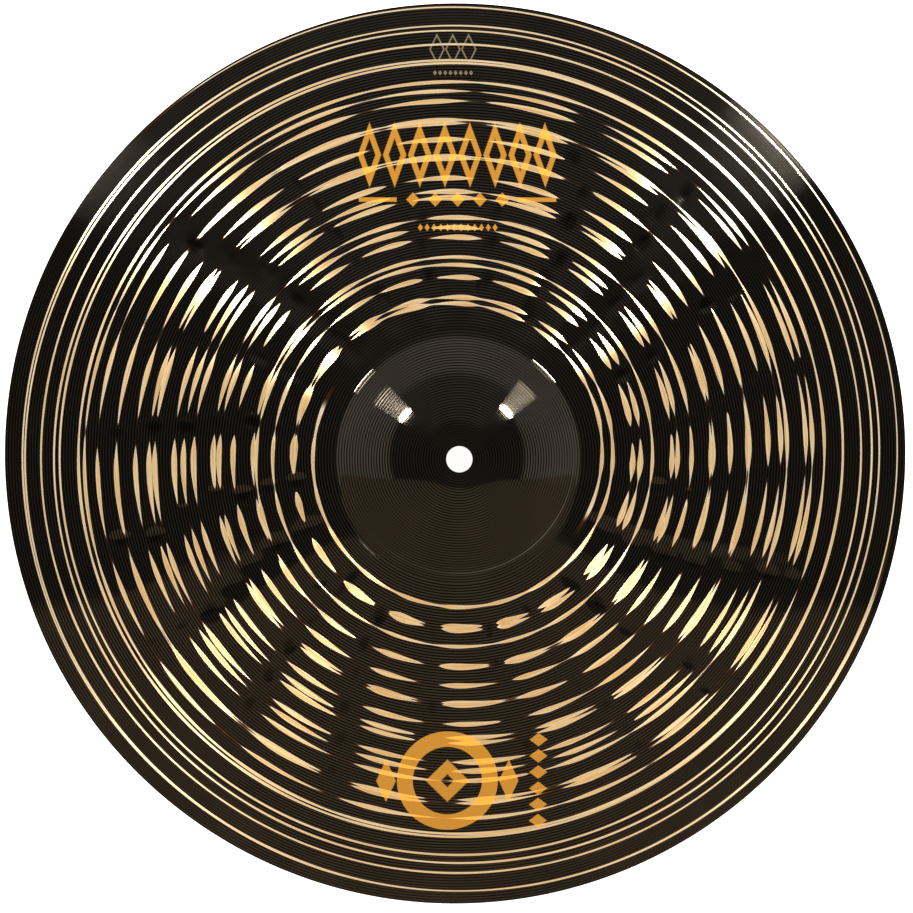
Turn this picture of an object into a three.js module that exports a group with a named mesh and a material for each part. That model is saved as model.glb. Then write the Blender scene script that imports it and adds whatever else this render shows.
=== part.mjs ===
// A hand-hammered crash cymbal: one disc of cast bronze, pressed into a bell and a bow and turned on a lathe.
// Millimetres, +Z up. The rim rests on z = 0 and the origin is at its centre, so the hole's axis is +Z.
// The whole cymbal is one revolved sheet. Its mid-surface is described from the hole outwards as a flat
// crown, a round dome, a fillet at the dome's foot and a long bow, and the two skins lie half a thickness
// to either side of it.

import * as THREE from 'three';

// Driving dimensions
const CYMBAL_DIAMETER = 457.2; // 18 inches over the rim
const HOLE_DIAMETER = 13; // clears the threaded rod of a stand in its sleeve
const SEAT_WIDTH = 3.5; // flat ring round the hole, where the felts press
const BELL_DIAMETER = 126; // where the fillet at the bell's foot runs into the bow
const BELL_RISE = 22; // crown above the inner end of the bow
const BOW_RISE = 28; // inner end of the bow above the rim
const BOW_INNER_SLOPE = 6; // degrees that the bow falls where it leaves the bell
const BELL_FILLET_RADIUS = 8; // hollow curve at the bell's foot
const BELL_THICKNESS = 1.5; // sheet at the hole and over the bell
const RIM_THICKNESS = 1.05; // sheet at the rim, thinned by the lathe

// Fineness of the revolved solid
const TURN_SEGMENTS = 96;
const DOME_STEPS = 7;
const FILLET_STEPS = 4;
const BOW_STEPS = 8;
const LIP_STEPS = 4;

const COATED_BRONZE = { color: 0x1a1612, roughness: 0.35, metalness: 0.9 };

const radians = THREE.MathUtils.degToRad;

// The thickness falls evenly from the bell's foot to the rim.
function thicknessAt(radius) {
  const share = (radius - BELL_DIAMETER / 2) / (CYMBAL_DIAMETER / 2 - BELL_DIAMETER / 2);
  return THREE.MathUtils.lerp(BELL_THICKNESS, RIM_THICKNESS, THREE.MathUtils.clamp(share, 0, 1));
}

// A place on the mid-surface: radius, height and how steeply the sheet falls there, in radians.
function station(radius, height, slope) {
  return { radius, height, slope };
}

// Places along an arc that falls from one slope to another. A positive bend radius is a dome and a
// negative one a hollow. The first place is left out, because the stretch before it ends there.
function arcStations(start, bendRadius, endSlope, steps) {
  const centreRadius = start.radius - bendRadius * Math.sin(start.slope);
  const centreHeight = start.height - bendRadius * Math.cos(start.slope);
  const stations = [];
  for (let step = 1; step <= steps; step += 1) {
    const slope = THREE.MathUtils.lerp(start.slope, endSlope, step / steps);
    const radius = centreRadius + bendRadius * Math.sin(slope);
    const height = centreHeight + bendRadius * Math.cos(slope);
    stations.push(station(radius, height, slope));
  }
  return stations;
}

// The mid-surface from the hole to the rim.
function midSurface() {
  const rimRadius = (CYMBAL_DIAMETER - RIM_THICKNESS) / 2;
  const rimHeight = RIM_THICKNESS / 2;
  const footRadius = BELL_DIAMETER / 2;
  const footHeight = rimHeight + BOW_RISE;
  const footSlope = radians(BOW_INNER_SLOPE);
  const crownRadius = HOLE_DIAMETER / 2 + SEAT_WIDTH;
  const crownHeight = footHeight + BELL_RISE;

  // The fillet's centre stands over the bell's foot. The dome starts level at the crown's edge, and its
  // bend radius is the one that makes it touch the fillet.
  const filletRadius = footRadius + BELL_FILLET_RADIUS * Math.sin(footSlope);
  const filletHeight = footHeight + BELL_FILLET_RADIUS * Math.cos(footSlope);
  const reach = filletRadius - crownRadius;
  const drop = crownHeight - filletHeight;
  const domeBend = (reach ** 2 + drop ** 2 - BELL_FILLET_RADIUS ** 2) / (2 * (BELL_FILLET_RADIUS + drop));
  const domeSlope = Math.atan2(reach, domeBend - drop);

  // The bow is one arc, so its chord falls at the mean of its two end slopes.
  const chordSlope = Math.atan2(footHeight - rimHeight, rimRadius - footRadius);
  const rimSlope = 2 * chordSlope - footSlope;
  const bowBend = (rimRadius - footRadius) / (Math.sin(rimSlope) - Math.sin(footSlope));

  const hole = station(HOLE_DIAMETER / 2, crownHeight, 0);
  const crown = station(crownRadius, crownHeight, 0);
  const dome = arcStations(crown, domeBend, domeSlope, DOME_STEPS);
  const fillet = arcStations(dome.at(-1), -BELL_FILLET_RADIUS, footSlope, FILLET_STEPS);
  const bow = arcStations(fillet.at(-1), bowBend, rimSlope, BOW_STEPS);
  return [hole, crown, ...dome, ...fillet, ...bow];
}

// One point of a skin: side +1 is the top and -1 the underside.
function skinPoint({ radius, height, slope }, side) {
  const offset = (side * thicknessAt(radius)) / 2;
  return new THREE.Vector2(radius + offset * Math.sin(slope), height + offset * Math.cos(slope));
}

// The rim's lip is half round. Its points run from the top skin to the underside, and take in the
// outermost point and the lowest one.
function lipPoints(rim) {
  const points = [];
  for (let step = 1; step <= LIP_STEPS; step += 1) {
    const turn = (Math.PI * step) / LIP_STEPS;
    const radius = rim.radius + (RIM_THICKNESS / 2) * Math.sin(turn);
    const height = rim.height + (RIM_THICKNESS / 2) * Math.cos(turn);
    points.push(new THREE.Vector2(radius, height));
  }
  return points;
}

function cymbalGeometry() {
  const stations = midSurface();
  const top = stations.map((place) => skinPoint(place, 1));
  const underside = stations.map((place) => skinPoint(place, -1)).reverse();
  const outline = [...top, ...lipPoints(stations.at(-1)), ...underside];
  outline.push(outline[0].clone());
  const geometry = new THREE.LatheGeometry(outline.reverse(), TURN_SEGMENTS);
  geometry.rotateX(Math.PI / 2);
  return geometry;
}

const cymbal = new THREE.Mesh(cymbalGeometry(), new THREE.MeshStandardMaterial(COATED_BRONZE));
cymbal.name = 'cymbal';

const group = new THREE.Group();
group.add(cymbal);

export default group;
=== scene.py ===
"""A black-coated crash cymbal of hammered bronze, lying on a pale table.

The cymbal is one sheet: a section is drawn point by point, spun into a disc and dented along its hammer
columns. Two spiral lathe cuts bare the bronze where the hammered sheet stands high.
"""

import math
import random

import bpy
import numpy as np
from mathutils import Matrix, Vector


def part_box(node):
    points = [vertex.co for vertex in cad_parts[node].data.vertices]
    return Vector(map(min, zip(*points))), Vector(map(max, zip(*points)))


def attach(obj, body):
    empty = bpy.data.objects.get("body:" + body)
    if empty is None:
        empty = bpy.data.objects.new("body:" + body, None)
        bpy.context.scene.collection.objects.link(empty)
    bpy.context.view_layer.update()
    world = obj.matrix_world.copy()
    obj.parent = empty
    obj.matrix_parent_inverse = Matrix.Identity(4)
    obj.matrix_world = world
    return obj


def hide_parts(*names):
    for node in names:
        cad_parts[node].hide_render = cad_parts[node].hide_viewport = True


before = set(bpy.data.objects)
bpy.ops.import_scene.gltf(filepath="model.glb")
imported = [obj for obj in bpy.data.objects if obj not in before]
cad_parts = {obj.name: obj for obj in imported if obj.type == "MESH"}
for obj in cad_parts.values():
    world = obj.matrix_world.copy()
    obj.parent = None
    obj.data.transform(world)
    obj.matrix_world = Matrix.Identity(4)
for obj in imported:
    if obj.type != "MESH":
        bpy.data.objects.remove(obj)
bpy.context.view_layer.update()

MM = 0.001

# The sheet, in metres. The rim and the crown come from the frame.
RIM_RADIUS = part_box("cymbal")[1][0]
CROWN_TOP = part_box("cymbal")[1][2]
HOLE_RADIUS = 6.5 * MM
CROWN_RADIUS = 10 * MM
BELL_RADIUS = 63 * MM
BELL_RISE = 22 * MM
BOW_INNER_SLOPE = math.radians(6)
BELL_FILLET = 8 * MM
BELL_THICKNESS = 1.5 * MM
RIM_THICKNESS = 1.05 * MM

# How finely the sheet is drawn
SEGMENTS = 576
TOP_BELL_STEP = 2.6 * MM
TOP_BOW_STEP = 2.15 * MM
UNDER_BELL_STEP = 5 * MM
UNDER_BOW_STEP = 5 * MM
FILLET_STEP = 1.2 * MM
LIP_STEPS = 6
LAST_STEP = 0.05  # of a full step, so that an edge is not shaded into the skin beside it
HOLE_CHAMFER = 0.25 * MM
MERGE_DISTANCE = 0.01 * MM
SHARP_EDGE = math.radians(40)

# The hammering, in millimetres and degrees: columns of blows that lean as they run outwards
HAMMER_COLUMNS = 20
COLUMN_START = 8.0
COLUMN_LEAN = 6.0
LEAN_FROM, LEAN_TO = 88.0, 178.0
COLUMN_JITTER = 1.2
COLUMN_VARIATION = 0.18  # how much deeper or shallower a column's valley is than the others
VALLEY_SHARPNESS = 1.1  # 1 is a plain wave, more is a narrower valley between wider ridges
VALLEY_SKEW = 0.4  # how far each valley leans round the disc
HAMMER_INNER, HAMMER_INNER_FADE = 66.0, 12.0
HAMMER_OUTER, HAMMER_OUTER_FADE = 197.0, 22.0
VALLEY_DEPTH = 0.30
DENT_DEPTH = 0.5
DENT_SHALLOWEST, DENT_DEEPEST = 0.25, 1.0  # of DENT_DEPTH
DENT_LENGTH, DENT_WIDTH = 7.0, 5.5
DENT_ROUNDNESS = 1.5
DENT_SPACING = 15.0
DENT_CLOSEST, DENT_FARTHEST = 0.85, 1.3  # of DENT_SPACING
FIRST_DENT, LAST_DENT = 78.0, 191.0
DENT_SCATTER = 1.1
SEED = 18

# The lathe cuts that bare the bronze, in millimetres. The tool's path is radius = start + pitch * turns
# - tightening * turns squared. Each pass is (turns, bite, give): how deep the tool bites, in tool widths,
# and how much more it takes where the hammered sheet stands high. A ridge between two columns stands
# highest, a dent lies lowest, and the rest is uneven from blow to blow.
RIDGE_HEIGHT, DENT_DROP = 0.5, 0.6
BLOW_SPACING = 9.0
UNEVEN_RIM, UNEVEN_HAMMERED = 0.25, 0.75
TOOL_WIDTH = 1.52
TIP_SHAPE = 1.2  # 1 is a pointed tip, 2 a round one
CUT_EDGE = 0.06  # softness of the bared edge, in tool widths of depth
RUN_IN = 8.0  # how fast a cut deepens from its start, in tool widths a turn
SLOW_CUT = dict(
    start=77.6,
    pitch=10.09,
    tightening=0.0214,
    first_turn=-0.56,
    last_turn=15.35,
    passes=[
        (-0.6, 0.45, 0.4), (0.0, 0.42, 0.4), (0.35, 0.42, 0.9), (0.6, 0.48, 1.3), (1.1, 0.4, 1.2),
        (1.4, 0.36, 0.4), (2.3, 0.36, 0.35), (2.6, 0.34, 1.1), (3.8, 0.32, 1.0), (4.2, 0.4, 0.5),
        (4.5, 0.32, 1.0), (6.7, 0.32, 1.0), (7.1, 0.4, 0.6), (7.4, 0.32, 1.0), (8.4, 0.32, 1.0),
        (9.0, 0.4, 0.6), (9.5, 0.4, 0.6), (9.8, 0.32, 1.0), (10.6, 0.32, 1.0), (11.2, 0.38, 0.7),
        (12.0, 0.3, 1.0), (13.0, 0.24, 1.0), (15.5, 0.16, 1.0),
    ],
)
FAST_CUT = dict(
    start=72.1,
    pitch=19.78,
    tightening=0.306,
    first_turn=-0.07,
    last_turn=8.95,
    passes=[
        (-0.1, 0.42, 0.5), (0.4, 0.42, 0.9), (0.6, 0.46, 1.3), (1.1, 0.38, 1.1), (1.25, 0.36, 0.4),
        (1.6, 0.36, 0.5), (1.8, 0.32, 1.0), (3.9, 0.32, 1.0), (4.15, 0.4, 0.6), (4.3, 0.36, 0.8),
        (4.5, 0.32, 1.0), (5.2, 0.32, 1.0), (5.4, 0.4, 0.6), (5.8, 0.32, 1.0), (6.2, 0.34, 1.0),
        (6.6, 0.36, 0.7), (7.2, 0.28, 1.0), (9.2, 0.16, 1.0),
    ],
)

# Finishes: colours, roughness from 0 to 1, and the shares in which they mix
COAT_BLACK = "#17140F"
# The worn grey is the coat's wear, and also the painted sheen between the grooves
COAT_WORN_AND_SHEEN = "#464038"
COAT_SCORCHED = "#7A4A24"
COAT_WEAR, CLOUD_WEAR = 0.25, 0.5
COAT_ROUGHNESS = 0.042
SCORCH_START, SCORCH_FULL = -0.2, -0.08  # in tool widths of depth, like the painted edge highlight
BRONZE = "#FFE0AA"
BRONZE_DARK = "#F0BC76"
# The pale colour along each cut's edge, and the depths over which it fades, is a painted highlight
BRONZE_EDGE_HIGHLIGHT = "#FFEFCA"
EDGE_HIGHLIGHT_FULL, EDGE_HIGHLIGHT_END = 0.06, 0.24
BRONZE_ROUGHNESS = 0.36
BRONZE_METALLIC = 0.78
INK_ON_COAT = "#B0781F"
INK_ON_BRONZE = "#EE960A"
INK_COVER = 0.88
INK_ROUGHNESS = 0.45
LATHE_GRAIN = 1.0  # anisotropy: light is drawn out across the lathe's grooves

# Grooves of the lathe's finishing passes, in millimetres from one to the next. The real bow's are 1.06 mm
# apart, which is too fine to show, so all are drawn coarser. The next pair paints light and shade along the
# grooves: how much paler the coat is painted on a groove's wall, and a negative one paints the wall darker,
# as painted shade, and the ground between paler, as a painted sheen. Tilt is how steep the walls are, in
# degrees: under the coat only the walls that face the hole are steep.
BELL_GROOVE, BOW_GROOVE = 1.35, 1.45
BELL_GROOVE_SHADE, BOW_GROOVE_SHADE = -0.5, -1.0
COAT_TILT, FOOT_TILT, CUT_TILT = -15.0, -30.0, 8.0
WALL_START = 0.25  # where on the grooves' wave the steep wall begins
FOOT_INNER, FOOT_OUTER = 61.0, 78.0  # the steepest grooves lie between these radii
RIM_SMOOTH_START, RIM_SMOOTH_FULL, RIM_GROOVES = 203.0, 215.0, 0.5
DENT_RIM, DENT_FLOOR, DENT_GROOVES_AND_SHADE = -0.65, -1.0, 0.25  # where the sheet stands this low, grooves fade and the coat is painted darker, as painted shade in the dents

# Streaks in the bared bronze and clouds in the coat, in millimetres
STREAK_WIDTH = 0.8
STREAKS_ROUND = 3.0  # a streak lasts about a third of a radian
STREAK_DARK, STREAK_PALE = 0.4, 0.6
CLOUD_SIZE = 34.0

# Printed and etched marks, in millimetres: rows of lozenges, plain enough to belong to nobody. Each is
# (middle, across it, pitch, half its run, half a lozenge's width, half its height, how hollow it is).
MARK_EDGE = 0.05
BAND_ROW = (0.0, 151.5, 12.6, 50.4, 5.9, 16.5, 0.5)
SMALL_ROW = (0.0, 129.0, 11.2, 28.0, 3.4, 3.6, 0.0)
DOT_ROW = (0.0, 115.0, 3.4, 20.4, 1.3, 1.9, 0.0)
SIDE_ROW = (-164.0, 41.0, 8.4, 25.2, 3.5, 4.6, 0.0)
EMBLEM_LOZENGE = (-5.0, -164.0, 24.0, 12.0, 11.0, 11.0, 0.3)
EMBLEM_MIDDLE = (-5.0, -164.0, 0.0)
EMBLEM_SIDES = (-5.0, -164.0, 62.0, 62.0, 5.0, 11.0, 0.0)
EMBLEM_RING = (17.5, 25.5)
DASH_MIDDLE, DASH_ACROSS, DASH_HALF, DASH_THICK = 40.0, 129.0, 9.5, 1.1
ETCHED_ROW = (-2.0, 205.0, 8.0, 12.0, 3.9, 8.0, 0.8)
ETCHED_DOTS = (-2.0, 193.0, 2.6, 10.4, 1.0, 1.3, 0.0)
ETCH_BITE = 0.45

UNROLL_TOP = 0.7  # share of the finish's map that the top skin takes
STEEP = 0.5  # a face whose normal rises less than this is a wall

# The stage, in metres, watts and degrees. Softboxes stand round the table, counterclockwise from +X.
WHITE = "#FFFFFF"
TABLE_SIZE = 8.0
TABLE_WHITE = "#F2F2F0"
TABLE_ROUGHNESS = 0.9
TABLE_GLOW = 0.95
SOFTBOX_RIGHT, SOFTBOX_LEFT = 41.0, 142.0
SOFTBOX_FROM_ZENITH = 39.5
SOFTBOX_DISTANCE = 4.0
SOFTBOX_WIDTH, SOFTBOX_HEIGHT = 0.68, 0.4
SOFTBOX_POWER = 132.0

# The room's walls and cards lie by direction, with x to the right, y to the back and z up, each from -1 to
# 1. Each one fades in from its first number to its second.
ROOM_DARK = "#808080"
ROOM_WALLS = "#FFFFFF"
ROOM_BACK = "#B4B4B4"
ROOM_FRONT = "#DCCEBB"
SIDE_WALL_START, SIDE_WALL_FULL = 0.64, 0.78
SIDE_WALL_TOP, SIDE_WALL_BELOW = 0.79, 0.73
WALL_TOP, WALL_BELOW = 0.64, 0.5
BACK_CARD_START, BACK_CARD_FULL = 0.55, 0.8
BACK_CARD_TOP, BACK_CARD_BELOW = 0.992, 0.955
FRONT_CARD_GABLE = 0.165
FRONT_CARD_START, FRONT_CARD_FULL = 0.01, -0.02

# The camera
CAMERA_LEAN, CAMERA_BEARING = math.radians(2.7), math.radians(125.7)
CAMERA_DISTANCE = 2.0
CAMERA_AIM = (0, -0.6 * MM, 0)
FRAMING_MARGIN = 1.0133


# ---------------------------------------------------------------- the sheet's shape


def mid_surface():
    """The arcs of the sheet's middle: a flat crown, a dome, a fillet and the bow.

    Each stretch is (start radius, end radius, centre radius, centre height, bend), and a negative bend
    is a hollow.
    """
    crown_height = CROWN_TOP - BELL_THICKNESS / 2
    foot_height = crown_height - BELL_RISE
    rim_radius = RIM_RADIUS - RIM_THICKNESS / 2
    rim_height = RIM_THICKNESS / 2
    fillet_radius = BELL_RADIUS + BELL_FILLET * math.sin(BOW_INNER_SLOPE)
    fillet_height = foot_height + BELL_FILLET * math.cos(BOW_INNER_SLOPE)
    reach = fillet_radius - CROWN_RADIUS
    drop = crown_height - fillet_height
    dome = (reach**2 + drop**2 - BELL_FILLET**2) / (2 * (BELL_FILLET + drop))
    dome_slope = math.atan2(reach, dome - drop)
    dome_end = CROWN_RADIUS + dome * math.sin(dome_slope)
    chord_slope = math.atan2(foot_height - rim_height, rim_radius - BELL_RADIUS)
    rim_slope = 2 * chord_slope - BOW_INNER_SLOPE
    bow = (rim_radius - BELL_RADIUS) / (math.sin(rim_slope) - math.sin(BOW_INNER_SLOPE))
    bow_centre = BELL_RADIUS - bow * math.sin(BOW_INNER_SLOPE)
    bow_height = foot_height - bow * math.cos(BOW_INNER_SLOPE)
    return [
        (CROWN_RADIUS, dome_end, CROWN_RADIUS, crown_height - dome, dome),
        (dome_end, BELL_RADIUS, fillet_radius, fillet_height, -BELL_FILLET),
        (BELL_RADIUS, rim_radius, bow_centre, bow_height, bow),
    ]


def thickness(radius):
    """The sheet thins evenly from the bell's foot to the rim."""
    share = (radius - BELL_RADIUS) / (RIM_RADIUS - BELL_RADIUS)
    share = min(max(share, 0.0), 1.0)
    return BELL_THICKNESS + (RIM_THICKNESS - BELL_THICKNESS) * share


def skin(side, steps):
    """Points of one skin from the hole to the rim: side is 1 for the top and -1 for the underside."""
    stretches = mid_surface()
    crown_height = CROWN_TOP - BELL_THICKNESS / 2
    middle = [(HOLE_RADIUS + HOLE_CHAMFER, crown_height, 0.0), (CROWN_RADIUS, crown_height, 0.0)]
    for (start, end, centre, height, bend), step in zip(stretches, steps):
        first, last = (math.asin((radius - centre) / bend) for radius in (start, end))
        count = max(2, round(abs(bend) * abs(last - first) / step))
        for number in (*range(1, count), count - LAST_STEP, count):
            slope = first + (last - first) * number / count
            radius = centre + bend * math.sin(slope)
            middle.append((radius, height + bend * math.cos(slope), slope))
    return [
        Vector((
            radius + side * thickness(radius) / 2 * math.sin(slope),
            0,
            height + side * thickness(radius) / 2 * math.cos(slope),
        ))
        for radius, height, slope in middle
    ]


def lip():
    """Points round the half-round rim, from the top skin to the underside."""
    half = RIM_THICKNESS / 2
    turns = [math.pi * number / LIP_STEPS for number in range(1, LIP_STEPS + 1)]
    return [
        Vector((RIM_RADIUS - half + half * math.sin(turn), 0, half + half * math.cos(turn)))
        for turn in turns
    ]


def section():
    """The whole section of the sheet, from the hole's top edge round to the wall of the hole."""
    top = skin(1, (TOP_BELL_STEP, FILLET_STEP, TOP_BOW_STEP))
    underside = skin(-1, (UNDER_BELL_STEP, FILLET_STEP * 2, UNDER_BOW_STEP))
    wall = [
        Vector((HOLE_RADIUS, 0, CROWN_TOP - BELL_THICKNESS + HOLE_CHAMFER)),
        Vector((HOLE_RADIUS, 0, CROWN_TOP - HOLE_CHAMFER)),
    ]
    return [*top, *lip(), *reversed(underside), *wall]


# ---------------------------------------------------------------- the hammering


def ease(values):
    """A smooth step from 0 to 1."""
    share = np.clip(values, 0.0, 1.0)
    return share * share * (3 - 2 * share)


def column_angle(radius):
    """Where the first hammer column lies at a radius in millimetres. The columns lean outwards."""
    return COLUMN_START + COLUMN_LEAN * ease((radius - LEAN_FROM) / (LEAN_TO - LEAN_FROM))


def hammering(points):
    """How deep the valleys and the dents are at each point, from 0 to about 1, and how much it is hammered
    at all.
    """
    chance = random.Random(SEED)
    pitch = 360 / HAMMER_COLUMNS
    jitter = np.array([chance.uniform(-COLUMN_JITTER, COLUMN_JITTER) for _ in range(HAMMER_COLUMNS)])
    strength = np.array([
        1 + chance.uniform(-COLUMN_VARIATION, COLUMN_VARIATION) for _ in range(HAMMER_COLUMNS)
    ])
    radius = np.hypot(points[:, 0], points[:, 1]) / MM
    angle = np.degrees(np.arctan2(points[:, 1], points[:, 0]))
    from_first = angle - column_angle(radius)
    column = np.round(from_first / pitch).astype(int) % HAMMER_COLUMNS
    off = from_first - pitch * np.round(from_first / pitch) - jitter[column]
    phase = math.tau * off / pitch
    valley = (0.5 + 0.5 * np.cos(phase - VALLEY_SKEW * np.cos(phase))) ** VALLEY_SHARPNESS
    valley = valley * strength[column]
    dents = np.zeros(len(points))
    for number in range(HAMMER_COLUMNS):
        at = FIRST_DENT + chance.uniform(0, DENT_SPACING)
        while at < LAST_DENT:
            scatter = jitter[number] + chance.gauss(0, DENT_SCATTER)
            turn = math.radians(column_angle(at) + pitch * number + scatter)
            depth = chance.uniform(DENT_SHALLOWEST, DENT_DEEPEST)
            away = points[:, :2] / MM - [at * math.cos(turn), at * math.sin(turn)]
            outwards = (away @ [math.cos(turn), math.sin(turn)]) / DENT_LENGTH
            along = (away @ [-math.sin(turn), math.cos(turn)]) / DENT_WIDTH
            reach = np.clip(1 - outwards**2 - along**2, 0, None)
            dents = np.maximum(dents, depth * reach**DENT_ROUNDNESS)
            at += DENT_SPACING * chance.uniform(DENT_CLOSEST, DENT_FARTHEST)
    zone = ease((radius - HAMMER_INNER) / HAMMER_INNER_FADE)
    zone = zone * ease((HAMMER_OUTER - radius) / HAMMER_OUTER_FADE)
    return valley, dents, zone


# ---------------------------------------------------------------- modelling


def place(vertices):
    """The vertices' coordinates as an array."""
    found = np.empty(len(vertices) * 3, np.float32)
    vertices.foreach_get("co", found)
    return found.reshape(-1, 3).astype(float)


def turn_sheet():
    """Draws the section as a line of points and spins it round the hole's axis."""
    points = section()
    bpy.ops.object.select_all(action="DESELECT")
    bpy.ops.mesh.primitive_plane_add(size=MM, location=points[0])
    sheet = bpy.context.object
    sheet.name = sheet.data.name = "cymbal_sheet"
    bpy.ops.object.transform_apply(location=True, rotation=True, scale=True)
    bpy.ops.object.mode_set(mode="EDIT")
    bpy.ops.mesh.select_all(action="SELECT")
    bpy.ops.mesh.merge(type="CENTER")
    for here, there in zip(points, points[1:] + points[:1]):
        bpy.ops.mesh.extrude_region_move(TRANSFORM_OT_translate={"value": there - here})
    bpy.ops.mesh.select_all(action="SELECT")
    bpy.ops.mesh.remove_doubles(threshold=MERGE_DISTANCE)
    bpy.ops.mesh.spin(steps=SEGMENTS, angle=2 * math.pi, center=(0, 0, 0), axis=(0, 0, 1))
    bpy.ops.mesh.select_all(action="SELECT")
    bpy.ops.mesh.remove_doubles(threshold=MERGE_DISTANCE)
    bpy.ops.mesh.normals_make_consistent(inside=False)
    bpy.ops.object.mode_set(mode="OBJECT")
    return sheet


def hammer_sheet(sheet):
    """Presses the valleys and dents down through the sheet, and notes how high it stands for the lathe."""
    valley, dents, zone = hammering(place(sheet.data.vertices))
    depth = zone * (valley * VALLEY_DEPTH + dents * DENT_DEPTH)
    deepest = depth.max()
    group = sheet.vertex_groups.new(name="hammered")
    for number in np.flatnonzero(depth > 0):
        group.add([int(number)], depth[number] / deepest, "REPLACE")
    press = sheet.modifiers.new("hammer", "DISPLACE")
    press.direction = "Z"
    press.mid_level = 0
    press.strength = -deepest * MM
    press.vertex_group = group.name
    bpy.context.view_layer.objects.active = sheet
    bpy.ops.object.modifier_apply(modifier=press.name)
    sheet.vertex_groups.clear()
    lift = sheet.data.attributes.new("lift", "FLOAT", "POINT")
    standing = zone * (RIDGE_HEIGHT - valley - DENT_DROP * dents)
    lift.data.foreach_set("value", standing.astype(np.float32))
    hammered = sheet.data.attributes.new("hammered", "FLOAT", "POINT")
    hammered.data.foreach_set("value", zone.astype(np.float32))


def map_sheet(sheet):
    """Unrolls the sheet for its finish: round the hole from left to right, and from the hole up to the rim
    on the top skin, then from the rim up to the hole on the underside.
    """
    mesh = sheet.data
    corners = np.empty(len(mesh.loops), np.int64)
    mesh.loops.foreach_get("vertex_index", corners)
    owner = np.repeat(np.arange(len(mesh.polygons)), [len(face.vertices) for face in mesh.polygons])
    points = place(mesh.vertices)[corners]
    radius = np.hypot(points[:, 0], points[:, 1]) / RIM_RADIUS
    up = np.array([face.normal.z for face in mesh.polygons])[owner]
    wall = (np.abs(up) < STEEP) & (radius < CROWN_RADIUS / RIM_RADIUS)
    across = np.where(up > 0, UNROLL_TOP * radius, 1 - (1 - UNROLL_TOP) * radius)
    across = np.where(wall, UNROLL_TOP * radius - (CROWN_TOP - points[:, 2]) / RIM_RADIUS, across)
    around = np.arctan2(points[:, 1], points[:, 0]) / math.tau + 0.5
    first = np.full(len(mesh.polygons), 2.0)
    np.minimum.at(first, owner, around)
    last = np.zeros(len(mesh.polygons))
    np.maximum.at(last, owner, around)
    over_seam = (last - first)[owner] > 0.5
    around = np.where(over_seam & (around < 0.5), around + 1, around)
    sheet_map = mesh.uv_layers.new(name="OFBake")
    sheet_map.data.foreach_set("uv", np.stack([around, across], 1).astype(np.float32).ravel())


def finish_sheet(sheet):
    """Shades the skins smooth and keeps the edges of the hole crisp."""
    bpy.ops.object.select_all(action="DESELECT")
    sheet.select_set(True)
    bpy.context.view_layer.objects.active = sheet
    bpy.ops.object.shade_smooth_by_angle(angle=SHARP_EDGE)


# ---------------------------------------------------------------- materials


def linear(colour):
    """An sRGB hex colour as linear red, green, blue and alpha."""
    channels = [int(colour[at : at + 2], 16) / 255 for at in (1, 3, 5)]
    return [c / 12.92 if c <= 0.04045 else ((c + 0.055) / 1.055) ** 2.4 for c in channels] + [1.0]


def add_node(tree, kind, inputs=None, output=0, **settings):
    """Adds a node with its settings, gives its inputs values or links, and returns one of its outputs."""
    node = tree.nodes.new("ShaderNode" + kind)
    for name, value in settings.items():
        setattr(node, name, value)
    for socket, value in (inputs or {}).items():
        if isinstance(value, bpy.types.NodeSocket):
            tree.links.new(value, node.inputs[socket])
        else:
            node.inputs[socket].default_value = value
    return node.outputs[output] if len(node.outputs) else node


def new_material(name):
    """An empty material, and its tree."""
    material = bpy.data.materials.new(name)
    material.use_nodes = True
    material.node_tree.nodes.clear()
    return material, material.node_tree


def fill_ramp(ramp, stops):
    """Gives a colour ramp its stops, as (position, colour)."""
    for _ in stops[2:]:
        ramp.elements.new(0.5)
    for element, (position, colour) in zip(ramp.elements, stops):
        element.position = position
        element.color = colour


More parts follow.
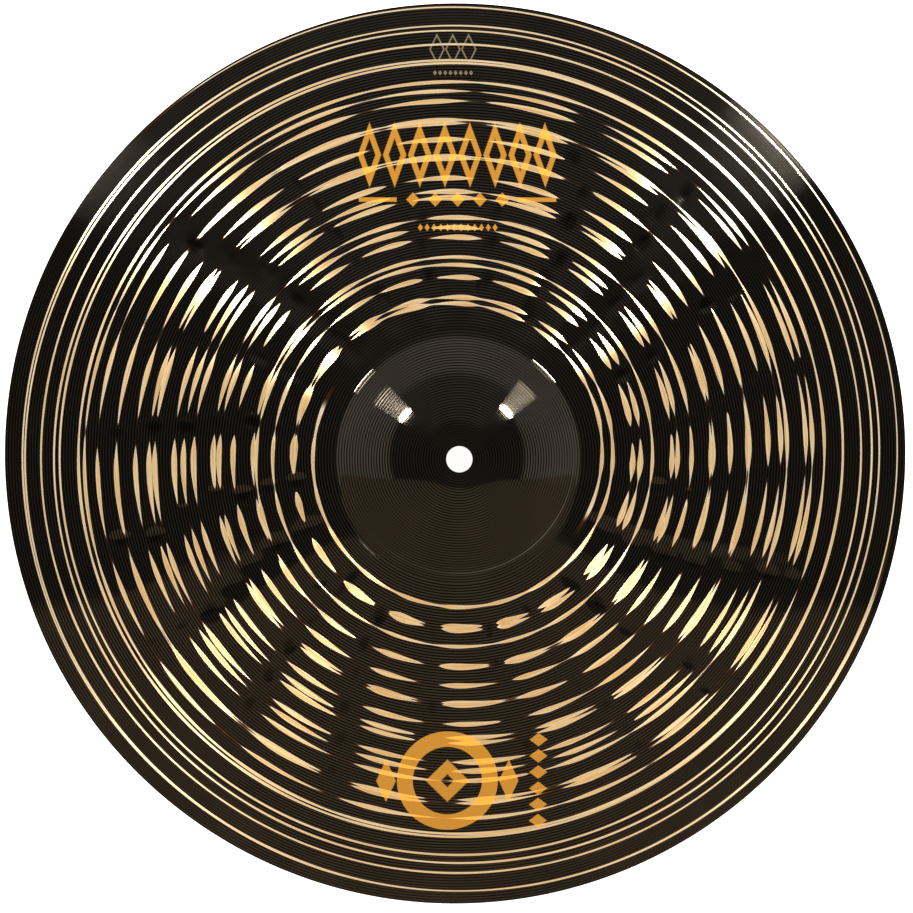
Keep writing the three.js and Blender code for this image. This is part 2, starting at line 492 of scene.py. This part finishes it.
def lathe_cut(tree, radius, turn, lift, start, pitch, tightening, first_turn, last_turn, passes):
    """How far one spiral cut has gone through the coat, in tool widths: the bronze is bare above 0."""
    # The number of turns after which the tool's path has this radius, and how fast it moves out there
    inner = add_node(
        tree, "Math",
        {0: radius, 1: -4 * tightening, 2: pitch**2 + 4 * tightening * start},
        operation="MULTIPLY_ADD",
    )
    lead = add_node(tree, "Math", {0: inner}, operation="SQRT")
    gained = add_node(tree, "Math", {0: pitch, 1: lead}, operation="SUBTRACT")
    turns = add_node(tree, "Math", {0: gained, 1: 2 * tightening}, operation="DIVIDE")

    # The nearest point of the path at this angle, and how far beside it the sheet is
    whole = add_node(tree, "Math", {0: turns, 1: turn}, operation="SUBTRACT")
    nearest = add_node(tree, "Math", {0: whole}, operation="ROUND")
    on_path = add_node(tree, "Math", {0: nearest, 1: turn}, operation="ADD")
    off_turns = add_node(tree, "Math", {0: turns, 1: on_path}, operation="SUBTRACT")
    off_path = add_node(tree, "Math", {0: off_turns, 1: lead}, operation="MULTIPLY")
    beside = add_node(tree, "Math", {0: off_path}, operation="ABSOLUTE")
    share = add_node(tree, "Math", {0: beside, 1: TOOL_WIDTH}, operation="DIVIDE")
    tip = add_node(tree, "Math", {0: share, 1: TIP_SHAPE}, operation="POWER")

    # How hard the tool presses there, less the shape of its tip
    opening, closing = passes[0][0], passes[-1][0]
    along = add_node(tree, "MapRange", {0: on_path, 1: opening, 2: closing})
    pressure = add_node(tree, "ValToRGB", {0: along})
    fill_ramp(
        pressure.node.color_ramp,
        [((at - opening) / (closing - opening), (bite, give, 0, 1)) for at, bite, give in passes],
    )
    bite = add_node(tree, "SeparateColor", {0: pressure})
    pressed = add_node(
        tree, "Math", {0: lift, 1: bite.node.outputs[1], 2: bite}, operation="MULTIPLY_ADD"
    )
    depth = add_node(tree, "Math", {0: pressed, 1: tip}, operation="SUBTRACT")

    # The tool enters and leaves gently
    begun = add_node(tree, "Math", {0: on_path, 1: first_turn}, operation="SUBTRACT")
    to_go = add_node(tree, "Math", {0: last_turn, 1: on_path}, operation="SUBTRACT")
    inside = add_node(tree, "Math", {0: begun, 1: to_go}, operation="MINIMUM")
    run_in = add_node(tree, "Math", {0: inside, 1: RUN_IN}, operation="MULTIPLY")
    return add_node(tree, "Math", {0: depth, 1: run_in}, operation="MINIMUM")


def band(tree, distance, inner, outer):
    """1 where a distance lies between two bounds, with a soft edge."""
    away = add_node(tree, "Math", {0: distance, 1: (inner + outer) / 2}, operation="SUBTRACT")
    away = add_node(tree, "Math", {0: away}, operation="ABSOLUTE")
    half = (outer - inner) / 2
    return add_node(
        tree, "MapRange",
        {0: away, 1: half + MARK_EDGE, 2: half - MARK_EDGE},
        interpolation_type="SMOOTHSTEP",
    )


def lozenge_row(tree, along, across, row):
    """A row of lozenges, side by side along one axis of the disc. With no hollow they are solid."""
    middle, offset, pitch, half_run, half_width, half_height, hollow = row
    lozenges = round(2 * half_run / pitch)
    origin = middle + pitch / 2 * (1 - lozenges % 2)
    moved = add_node(tree, "Math", {0: along, 1: origin}, operation="SUBTRACT")
    beside = add_node(tree, "Math", {0: moved, 1: pitch / 2}, operation="PINGPONG")
    sideways = add_node(tree, "Math", {0: beside, 1: half_width}, operation="DIVIDE")
    off_row = add_node(tree, "Math", {0: across, 1: offset}, operation="SUBTRACT")
    off_row = add_node(tree, "Math", {0: off_row}, operation="ABSOLUTE")
    reach = add_node(
        tree, "Math", {0: off_row, 1: 1 / half_height, 2: sideways}, operation="MULTIPLY_ADD"
    )
    shape = band(tree, reach, hollow if hollow else -1.0, 1.0)
    run = band(tree, along, middle - half_run, middle + half_run)
    return add_node(tree, "Math", {0: shape, 1: run}, operation="MULTIPLY")


def printed_marks(tree, place_mm, x, y):
    """The gold prints: rows of lozenges, dashes and dots above the bell, and below it a ringed lozenge with
    one to each side, and a strip.
    """
    sideways = add_node(tree, "Math", {0: x}, operation="ABSOLUTE")
    dash = band(tree, sideways, DASH_MIDDLE - DASH_HALF, DASH_MIDDLE + DASH_HALF)
    thin = band(tree, y, DASH_ACROSS - DASH_THICK, DASH_ACROSS + DASH_THICK)
    marks = add_node(tree, "Math", {0: dash, 1: thin}, operation="MULTIPLY")
    from_middle = add_node(
        tree, "VectorMath", {0: place_mm, 1: EMBLEM_MIDDLE}, output=1, operation="DISTANCE"
    )
    others = [
        lozenge_row(tree, x, y, BAND_ROW),
        lozenge_row(tree, x, y, SMALL_ROW),
        lozenge_row(tree, x, y, DOT_ROW),
        lozenge_row(tree, y, x, SIDE_ROW),
        lozenge_row(tree, x, y, EMBLEM_LOZENGE),
        lozenge_row(tree, x, y, EMBLEM_SIDES),
        band(tree, from_middle, *EMBLEM_RING),
    ]
    for mark in others:
        marks = add_node(tree, "Math", {0: marks, 1: mark}, operation="MAXIMUM")
    return marks


def etched_marks(tree, x, y):
    """The mark etched near the rim: hollow lozenges over a row of dots, half through the coat."""
    row = lozenge_row(tree, x, y, ETCHED_ROW)
    dots = lozenge_row(tree, x, y, ETCHED_DOTS)
    marks = add_node(tree, "Math", {0: row, 1: dots}, operation="MAXIMUM")
    return add_node(tree, "Math", {0: marks, 1: ETCH_BITE}, operation="MULTIPLY")


def standing_height(tree, radius, outwards, stand):
    """How high the sheet stands under the tool, made uneven from blow to blow."""
    columns = HAMMER_COLUMNS / math.tau
    rows = add_node(tree, "Math", {0: radius, 1: BLOW_SPACING}, operation="DIVIDE")
    row = add_node(tree, "CombineXYZ", {2: rows})
    blow = add_node(
        tree, "VectorMath",
        {0: outwards, 1: (columns, columns, columns), 2: row},
        operation="MULTIPLY_ADD",
    )
    uneven = add_node(tree, "TexNoise", {"Vector": blow, "Scale": 1.0, "Detail": 1.0})
    centred = add_node(tree, "Math", {0: uneven, 1: 0.5}, operation="SUBTRACT")
    hammered = add_node(tree, "Attribute", output=2, attribute_name="hammered")
    swing = add_node(tree, "MapRange", {0: hammered, 3: UNEVEN_RIM, 4: UNEVEN_HAMMERED})
    return add_node(tree, "Math", {0: centred, 1: swing, 2: stand}, operation="MULTIPLY_ADD")


def groove_wave(tree, radius, on_bow):
    """The grooves of the finishing passes, as a wave from -1 to 1."""
    bell, bow = math.tau / BELL_GROOVE, math.tau / BOW_GROOVE
    spacing = add_node(tree, "MapRange", {0: on_bow, 3: bell, 4: bow})
    phase = add_node(tree, "Math", {0: radius, 1: spacing}, operation="MULTIPLY")
    return add_node(tree, "Math", {0: phase}, operation="SINE")


def grooved_normal(tree, radius, outwards, on_bow, wave, dent_fade_and_shade, rim_fade, bared):
    """The grooves as a tilt of the surface: steepest at the bell's foot, and two-sided in bared bronze."""
    wall = add_node(tree, "MapRange", {0: wave, 1: WALL_START, 2: 1.0})
    wall = add_node(tree, "Math", {0: wall, 1: dent_fade_and_shade}, operation="MULTIPLY")
    wall = add_node(tree, "Math", {0: wall, 1: rim_fade}, operation="MULTIPLY")
    past_foot = add_node(tree, "MapRange", {0: radius, 1: FOOT_OUTER, 2: FOOT_INNER})
    at_foot = add_node(tree, "Math", {0: past_foot, 1: on_bow}, operation="MULTIPLY")
    steepness = add_node(tree, "MapRange", {0: at_foot, 3: COAT_TILT, 4: FOOT_TILT})
    coat_tilt = add_node(tree, "Math", {0: wall, 1: steepness}, operation="MULTIPLY")
    cut_tilt = add_node(tree, "Math", {0: wave, 1: CUT_TILT}, operation="MULTIPLY")
    tilt = add_node(tree, "Mix", {0: bared, 2: coat_tilt, 3: cut_tilt}, data_type="FLOAT")
    tilt = add_node(tree, "Math", {0: tilt, 1: math.radians(1)}, operation="MULTIPLY")
    leaning = add_node(tree, "VectorMath", {0: outwards, "Scale": tilt}, operation="SCALE")
    level = add_node(tree, "NewGeometry", output=1)
    grooved = add_node(tree, "VectorMath", {0: level, 1: leaning}, operation="ADD")
    return add_node(tree, "VectorMath", {0: grooved}, operation="NORMALIZE")


def coat_colour(tree, place_mm, on_bow, wave, dent_fade_and_shade, rim_fade, depth):
    """The black coat: cloudy, with painted shade on the grooves' walls and in dents and a painted sheen
    between the grooves, and scorched beside a cut.
    """
    cloud = add_node(tree, "TexNoise", {"Vector": place_mm, "Scale": 1 / CLOUD_SIZE, "Detail": 3.0})
    # Painted light and shade along the grooves: the walls darker, the ground between them paler
    groove_shade = add_node(tree, "MapRange", {0: on_bow, 3: BELL_GROOVE_SHADE, 4: BOW_GROOVE_SHADE})
    groove_shade = add_node(tree, "Math", {0: groove_shade, 1: rim_fade}, operation="MULTIPLY")
    thin = add_node(tree, "Math", {0: wave, 1: groove_shade, 2: COAT_WEAR}, operation="MULTIPLY_ADD")
    thin = add_node(tree, "Math", {0: cloud, 1: CLOUD_WEAR, 2: thin}, operation="MULTIPLY_ADD")
    # Dents lose the worn tone and go black: painted shade in the dents
    thin = add_node(tree, "Math", {0: thin, 1: dent_fade_and_shade}, operation="MULTIPLY")
    coat = add_node(
        tree, "Mix",
        {0: thin, 6: linear(COAT_BLACK), 7: linear(COAT_WORN_AND_SHEEN)},
        output=2, data_type="RGBA",
    )
    scorched = add_node(tree, "MapRange", {0: depth, 1: SCORCH_START, 2: SCORCH_FULL})
    return add_node(
        tree, "Mix",
        {0: scorched, 6: coat, 7: linear(COAT_SCORCHED)},
        output=2, data_type="RGBA",
    )


def bronze_colour(tree, radius, outwards, depth, etched):
    """The bared bronze: turning streaks run round it, and the cut's edge carries a painted highlight."""
    across = add_node(tree, "Math", {0: radius, 1: STREAK_WIDTH}, operation="DIVIDE")
    row = add_node(tree, "CombineXYZ", {2: across})
    streak_at = add_node(
        tree, "VectorMath",
        {0: outwards, 1: (STREAKS_ROUND, STREAKS_ROUND, STREAKS_ROUND), 2: row},
        operation="MULTIPLY_ADD",
    )
    streak = add_node(tree, "TexNoise", {"Vector": streak_at, "Scale": 1.0, "Detail": 2.0})
    pale = add_node(tree, "MapRange", {0: streak, 1: STREAK_DARK, 2: STREAK_PALE})
    turned = add_node(
        tree, "Mix",
        {0: pale, 6: linear(BRONZE_DARK), 7: linear(BRONZE)},
        output=2, data_type="RGBA",
    )
    # A painted highlight runs along the cut's edge and fades out deeper in the cut
    inside = add_node(tree, "MapRange", {0: depth, 1: EDGE_HIGHLIGHT_FULL, 2: EDGE_HIGHLIGHT_END})
    inside = add_node(tree, "Math", {0: inside, 1: etched}, operation="MAXIMUM")
    return add_node(
        tree, "Mix",
        {0: inside, 6: linear(BRONZE_EDGE_HIGHLIGHT), 7: turned},
        output=2, data_type="RGBA",
    )


def coated_bronze():
    """Cast bell bronze, hammered, coated black and turned again on a lathe.

    The coat is a thin glassy black with fine grooves under it, so it mirrors lamps as arcs. The bare
    bronze is pale and satiny, with a painted highlight along each cut's edge and fine streaks round the
    disc.
    """
    material, tree = new_material("black_coated_turned_bronze")
    place_mm = add_node(
        tree, "VectorMath",
        {0: add_node(tree, "TexCoord", output=3), 1: (1 / MM, 1 / MM, 0)},
        operation="MULTIPLY",
    )
    x = add_node(tree, "SeparateXYZ", {0: place_mm}, output=0)
    y = x.node.outputs[1]
    radius = add_node(tree, "VectorMath", {0: place_mm}, output=1, operation="LENGTH")
    angle = add_node(tree, "Math", {0: y, 1: x}, operation="ARCTAN2")
    turn = add_node(tree, "Math", {0: angle, 1: math.tau}, operation="DIVIDE")
    outwards = add_node(tree, "VectorMath", {0: place_mm}, operation="NORMALIZE")

    # The cuts bare the bronze where the sheet stands high
    stand = add_node(tree, "Attribute", output=2, attribute_name="lift")
    lift = standing_height(tree, radius, outwards, stand)
    slow = lathe_cut(tree, radius, turn, lift, **SLOW_CUT)
    fast = lathe_cut(tree, radius, turn, lift, **FAST_CUT)
    depth = add_node(tree, "Math", {0: slow, 1: fast}, operation="MAXIMUM")
    bared = add_node(
        tree, "MapRange", {0: depth, 1: -CUT_EDGE, 2: CUT_EDGE}, interpolation_type="SMOOTHSTEP"
    )

    # Only the top skin is marked: gold ink over coat and bronze alike, and a mark etched near the rim
    facing = add_node(tree, "SeparateXYZ", {0: add_node(tree, "TexCoord", output=1)}, output=2)
    on_top = add_node(tree, "Math", {0: facing, 1: 0.0}, operation="GREATER_THAN")
    etched = add_node(tree, "Math", {0: etched_marks(tree, x, y), 1: on_top}, operation="MULTIPLY")
    bared = add_node(tree, "Math", {0: bared, 1: etched}, operation="MAXIMUM")
    printed = printed_marks(tree, place_mm, x, y)
    inked = add_node(tree, "Math", {0: printed, 1: on_top}, operation="MULTIPLY")
    inked = add_node(tree, "Math", {0: inked, 1: INK_COVER}, operation="MULTIPLY")

    # The grooves fade where the finishing tool passed over a dent, and near the rim. In a dent the coat is
    # also painted darker, as painted shade.
    on_bow = add_node(tree, "Math", {0: radius, 1: BELL_RADIUS / MM}, operation="GREATER_THAN")
    wave = groove_wave(tree, radius, on_bow)
    dent_fade_and_shade = add_node(tree, "MapRange", {0: stand, 1: DENT_FLOOR, 2: DENT_RIM, 3: DENT_GROOVES_AND_SHADE})
    rim_fade = add_node(
        tree, "MapRange", {0: radius, 1: RIM_SMOOTH_START, 2: RIM_SMOOTH_FULL, 3: 1.0, 4: RIM_GROOVES}
    )
    normal = grooved_normal(tree, radius, outwards, on_bow, wave, dent_fade_and_shade, rim_fade, bared)

    coat = coat_colour(tree, place_mm, on_bow, wave, dent_fade_and_shade, rim_fade, depth)
    bronze = bronze_colour(tree, radius, outwards, depth, etched)
    sheet = add_node(tree, "Mix", {0: bared, 6: coat, 7: bronze}, output=2, data_type="RGBA")
    ink = add_node(
        tree, "Mix",
        {0: bared, 6: linear(INK_ON_COAT), 7: linear(INK_ON_BRONZE)},
        output=2, data_type="RGBA",
    )
    colour = add_node(tree, "Mix", {0: inked, 6: sheet, 7: ink}, output=2, data_type="RGBA")
    metal = add_node(tree, "Mix", {0: bared, 2: 1.0, 3: BRONZE_METALLIC}, data_type="FLOAT")
    metal = add_node(tree, "Mix", {0: inked, 2: metal, 3: 0.0}, data_type="FLOAT")
    rough = add_node(tree, "Mix", {0: bared, 2: COAT_ROUGHNESS, 3: BRONZE_ROUGHNESS}, data_type="FLOAT")
    rough = add_node(tree, "Mix", {0: inked, 2: rough, 3: INK_ROUGHNESS}, data_type="FLOAT")
    surface = add_node(
        tree, "BsdfPrincipled",
        {
            "Base Color": colour,
            "Metallic": metal,
            "Roughness": rough,
            "Normal": normal,
            "Tangent": outwards,
            "Anisotropic": LATHE_GRAIN,
        },
    )
    add_node(tree, "OutputMaterial", {0: surface})
    return material


# ---------------------------------------------------------------- the stage


def lay_table():
    """A plain white table, lit a little from within as a light table is."""
    bpy.ops.object.select_all(action="DESELECT")
    bpy.ops.mesh.primitive_plane_add(size=TABLE_SIZE, location=(0, 0, 0))
    table = bpy.context.object
    table.name = "table"
    material, tree = new_material("white_laminate")
    surface = add_node(
        tree, "BsdfPrincipled",
        {
            "Base Color": linear(TABLE_WHITE),
            "Roughness": TABLE_ROUGHNESS,
            "Emission Color": linear(WHITE),
            "Emission Strength": TABLE_GLOW,
        },
    )
    add_node(tree, "OutputMaterial", {0: surface})
    table.data.materials.append(material)


def hang_softbox(name, bearing):
    """An oval softbox that looks at the cymbal from afar, wider round the disc than across it."""
    bearing, from_zenith = math.radians(bearing), math.radians(SOFTBOX_FROM_ZENITH)
    towards = Vector((
        math.sin(from_zenith) * math.cos(bearing),
        math.sin(from_zenith) * math.sin(bearing),
        math.cos(from_zenith),
    ))
    light = bpy.data.lights.new(name, "AREA")
    light.shape = "ELLIPSE"
    light.size, light.size_y = SOFTBOX_WIDTH, SOFTBOX_HEIGHT
    light.energy = SOFTBOX_POWER
    lamp = bpy.data.objects.new(name, light)
    bpy.context.scene.collection.objects.link(lamp)
    lamp.location = towards * SOFTBOX_DISTANCE
    lamp.rotation_euler = towards.to_track_quat("Z", "Y").to_euler()


def light_studio():
    """Two softboxes, and a room of soft walls: dark overhead, a warm card in front, a dim one behind."""
    hang_softbox("softbox_right", SOFTBOX_RIGHT)
    hang_softbox("softbox_left", SOFTBOX_LEFT)
    world = bpy.data.worlds.new("studio")
    bpy.context.scene.world = world
    world.use_nodes = True
    tree = world.node_tree
    tree.nodes.clear()
    towards = add_node(tree, "TexCoord", output=0)
    x = add_node(tree, "SeparateXYZ", {0: towards}, output=0)
    y, z = x.node.outputs[1], x.node.outputs[2]
    flat = add_node(tree, "VectorMath", {0: towards, 1: (1, 1, 0)}, operation="MULTIPLY")
    bearing = add_node(tree, "VectorMath", {0: flat}, operation="NORMALIZE")
    right = add_node(tree, "SeparateXYZ", {0: bearing}, output=0)
    back = right.node.outputs[1]

    # Walls all round, which reach higher to the left and right
    sideways = add_node(tree, "Math", {0: right}, operation="ABSOLUTE")
    beside = add_node(
        tree, "MapRange",
        {0: sideways, 1: SIDE_WALL_START, 2: SIDE_WALL_FULL},
        interpolation_type="SMOOTHSTEP",
    )
    below_side = add_node(
        tree, "MapRange", {0: z, 1: SIDE_WALL_TOP, 2: SIDE_WALL_BELOW}, interpolation_type="SMOOTHSTEP"
    )
    side_walls = add_node(tree, "Math", {0: beside, 1: below_side}, operation="MULTIPLY")
    all_round = add_node(
        tree, "MapRange", {0: z, 1: WALL_TOP, 2: WALL_BELOW}, interpolation_type="SMOOTHSTEP"
    )
    walls = add_node(tree, "Math", {0: side_walls, 1: all_round}, operation="MAXIMUM")

    # A card behind, which stops short of the zenith
    behind = add_node(
        tree, "MapRange",
        {0: back, 1: BACK_CARD_START, 2: BACK_CARD_FULL},
        interpolation_type="SMOOTHSTEP",
    )
    below_zenith = add_node(
        tree, "MapRange", {0: z, 1: BACK_CARD_TOP, 2: BACK_CARD_BELOW}, interpolation_type="SMOOTHSTEP"
    )
    back_card = add_node(tree, "Math", {0: behind, 1: below_zenith}, operation="MULTIPLY")

    # A card in front, which comes nearest over the middle and falls back like a gable to the sides
    off_middle = add_node(tree, "Math", {0: x}, operation="ABSOLUTE")
    gable = add_node(tree, "Math", {0: off_middle, 1: z}, operation="ADD")
    overhang = add_node(tree, "Math", {0: gable, 1: FRONT_CARD_GABLE, 2: y}, operation="MULTIPLY_ADD")
    front_card = add_node(
        tree, "MapRange",
        {0: overhang, 1: FRONT_CARD_START, 2: FRONT_CARD_FULL},
        interpolation_type="SMOOTHSTEP",
    )

    glow = linear(ROOM_DARK)
    for mask, shade in ((back_card, ROOM_BACK), (walls, ROOM_WALLS), (front_card, ROOM_FRONT)):
        glow = add_node(tree, "Mix", {0: mask, 6: glow, 7: linear(shade)}, output=2, data_type="RGBA")
    seen = add_node(tree, "LightPath", output=0)
    backdrop = add_node(tree, "Mix", {0: seen, 6: glow, 7: linear(WHITE)}, output=2, data_type="RGBA")
    room = add_node(tree, "Background", {"Color": backdrop})
    add_node(tree, "OutputWorld", {0: room})


def stand_camera():
    """Almost straight above the cymbal, with +Y at the top of the picture."""
    back = Vector((
        math.sin(CAMERA_LEAN) * math.cos(CAMERA_BEARING),
        math.sin(CAMERA_LEAN) * math.sin(CAMERA_BEARING),
        math.cos(CAMERA_LEAN),
    ))
    width = 2 * RIM_RADIUS * FRAMING_MARGIN
    camera = bpy.data.objects.new("camera", bpy.data.cameras.new("camera"))
    bpy.context.scene.collection.objects.link(camera)
    camera.data.lens = camera.data.sensor_width * CAMERA_DISTANCE / width
    up = (Vector((0, 1, 0)) - back * back.y).normalized()
    turned = Matrix((up.cross(back), up, back)).transposed()
    stand = Vector(CAMERA_AIM) + back * CAMERA_DISTANCE
    camera.matrix_world = Matrix.Translation(stand) @ turned.to_4x4()
    bpy.context.scene.camera = camera


# ---------------------------------------------------------------- the build

cymbal = turn_sheet()
hammer_sheet(cymbal)
map_sheet(cymbal)
finish_sheet(cymbal)
cymbal.data.materials.clear()
cymbal.data.materials.append(coated_bronze())
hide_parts("cymbal")
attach(cymbal, "root")

lay_table()
light_studio()
stand_camera()
bpy.context.scene.view_settings.view_transform = "Standard"
